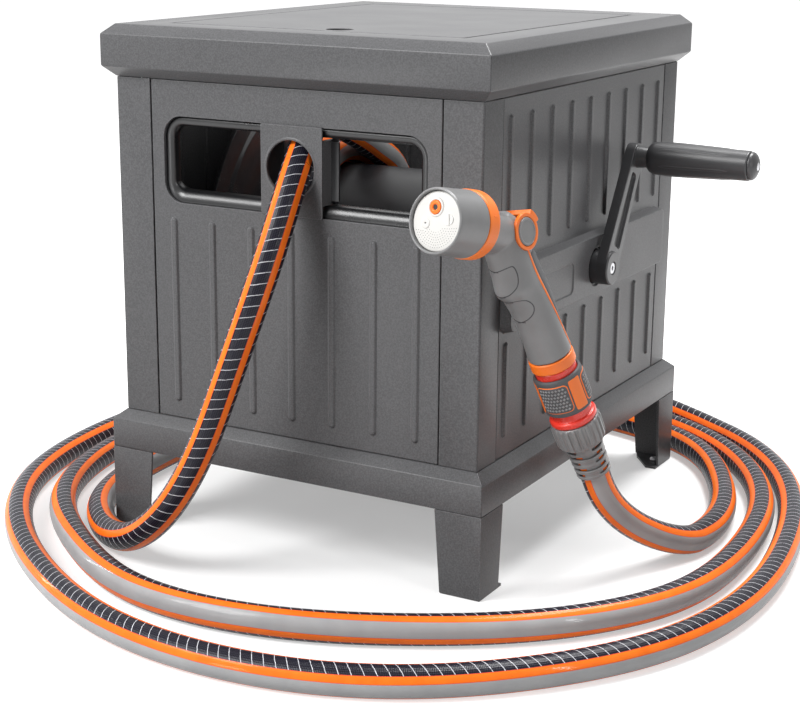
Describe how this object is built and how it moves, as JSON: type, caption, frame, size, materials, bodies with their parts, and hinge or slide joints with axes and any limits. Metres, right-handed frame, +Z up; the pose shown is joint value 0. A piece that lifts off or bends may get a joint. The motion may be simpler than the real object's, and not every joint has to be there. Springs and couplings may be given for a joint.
{
  "type": "hose reel",
  "caption": "Steel cabinet on short legs with a crank-driven hose reel, a sliding hose guide in its front window, a hinged lid, and a wound garden hose that ends in a spray gun.",
  "frame": {"origin": "bottom centre of the bounding box of the cabinet with its crank and water inlet, on the floor, without the free hose and its gun", "axes": "+X towards the crank, along the reel's axle; -Y towards the front with the window and the hose guide; +Z up"},
  "size_m": [0.8046, 0.8603, 0.482],
  "materials": {
    "powder_coat": "fine-textured anthracite powder coat, semi-matt",
    "black_plastic": "black moulded plastic, satin",
    "zinc": "zinc-plated steel",
    "brass": "turned brass",
    "gun_grey": "dark grey moulded plastic, satin",
    "dark_insert": "soft-touch dark grey overmould",
    "orange": "orange moulded plastic, semi-gloss",
    "red": "red moulded plastic, semi-gloss",
    "white": "off-white moulded plastic",
    "hose": "glossy clear-skinned hose with a dark woven layer and orange stripes",
    "seal": "black rubber seal"
  },
  "bodies": {
    "cabinet": {"back_panel": "powder_coat", "bearing_left": "black_plastic", "bearing_right": "black_plastic", "connector_body": "red", "corner_post_back_left": "powder_coat", "corner_post_back_right": "powder_coat", "corner_post_front_left": "powder_coat", "corner_post_front_right": "powder_coat", "foot_screw_back_left": "zinc", "foot_screw_back_right": "zinc", "foot_screw_front_left": "zinc", "foot_screw_front_right": "zinc", "front_panel": "powder_coat", "guide_rail_lower": "zinc", "guide_rail_upper": "zinc", "hatch_hinge_rod": "zinc", "hatch_ledge": "powder_coat", "hinge_lug_left": "zinc", "hinge_lug_right": "zinc", "hose_drop": "hose", "hose_floor": "hose", "hose_inner": "hose", "hose_nut": "gun_grey", "inlet_swivel": "black_plastic", "left_panel": "powder_coat", "leg_back_left": "powder_coat", "leg_back_right": "powder_coat", "leg_front_left": "powder_coat", "leg_front_right": "powder_coat", "lid_crown": "powder_coat", "plinth_frame": "powder_coat", "rail_bracket_left": "powder_coat", "rail_bracket_right": "powder_coat", "right_panel": "powder_coat", "swivel_seal": "seal", "tap_connector": "brass"},
    "reel": {"reel_core": "black_plastic", "reel_flange_left": "black_plastic", "reel_flange_right": "black_plastic", "reel_axle": "zinc", "water_elbow": "brass", "wound_hose": "hose", "crank_arm": "black_plastic", "crank_screw": "zinc", "grip_pin": "zinc"},
    "grip": {"crank_grip": "black_plastic", "grip_end_cap": "black_plastic"},
    "hatch": {"lid_hatch": "powder_coat"},
    "guide": {"guide_plate": "powder_coat", "guide_carriage": "black_plastic"},
    "collar": {"connector_collar": "dark_insert"},
    "gun": {"gun_body": "gun_grey", "gun_back_insert": "dark_insert", "gun_inlet_ring": "orange", "pivot_pin": "gun_grey"},
    "lever": {"thumb_lever": "orange"},
    "head": {"spray_head": "gun_grey", "head_ring": "orange", "spray_face": "white", "nozzle_insert": "orange"}
  },
  "joints": [
    {"name": "reel_spin", "type": "hinge", "parent": "cabinet", "child": "reel", "pos_m": [-0.0505, 0.006, 0.257], "axis": [1, 0, 0], "continuous": true, "deforming": ["hose_inner"]},
    {"name": "grip_spin", "type": "hinge", "parent": "reel", "child": "grip", "pos_m": [0.1745, 0.06432, 0.356], "axis": [1, 0, 0], "continuous": true},
    {"name": "hatch_hinge", "type": "hinge", "parent": "cabinet", "child": "hatch", "pos_m": [-0.0505, 0.172, 0.475], "axis": [-1, 0, 0], "range_deg": [0, 100]},
    {"name": "guide_slide", "type": "slide", "parent": "cabinet", "child": "guide", "axis": [1, 0, 0], "range_m": [-0.086, 0.084], "deforming": ["hose_inner", "hose_drop"]},
    {"name": "gun_swivel", "type": "hinge", "parent": "cabinet", "child": "gun", "pos_m": [0.1587, -0.21987, 0.32747], "axis": [0.2179, 0.3452, -0.9129], "range_deg": [0, 20]},
    {"name": "lever_turn", "type": "hinge", "parent": "gun", "child": "lever", "pos_m": [0.1603, -0.2115, 0.3263], "axis": [0.9719, -0.1616, 0.1709], "range_deg": [0, 35]},
    {"name": "head_turn", "type": "hinge", "parent": "gun", "child": "head", "pos_m": [0.14849, -0.26736, 0.34066], "axis": [-0.1946, -0.9607, 0.1981], "continuous": true},
    {"name": "collar_slide", "type": "slide", "parent": "cabinet", "child": "collar", "axis": [0.2179, 0.3452, -0.9129], "range_m": [0, 0.006], "stiffness_N_per_m": 400}
  ]
}
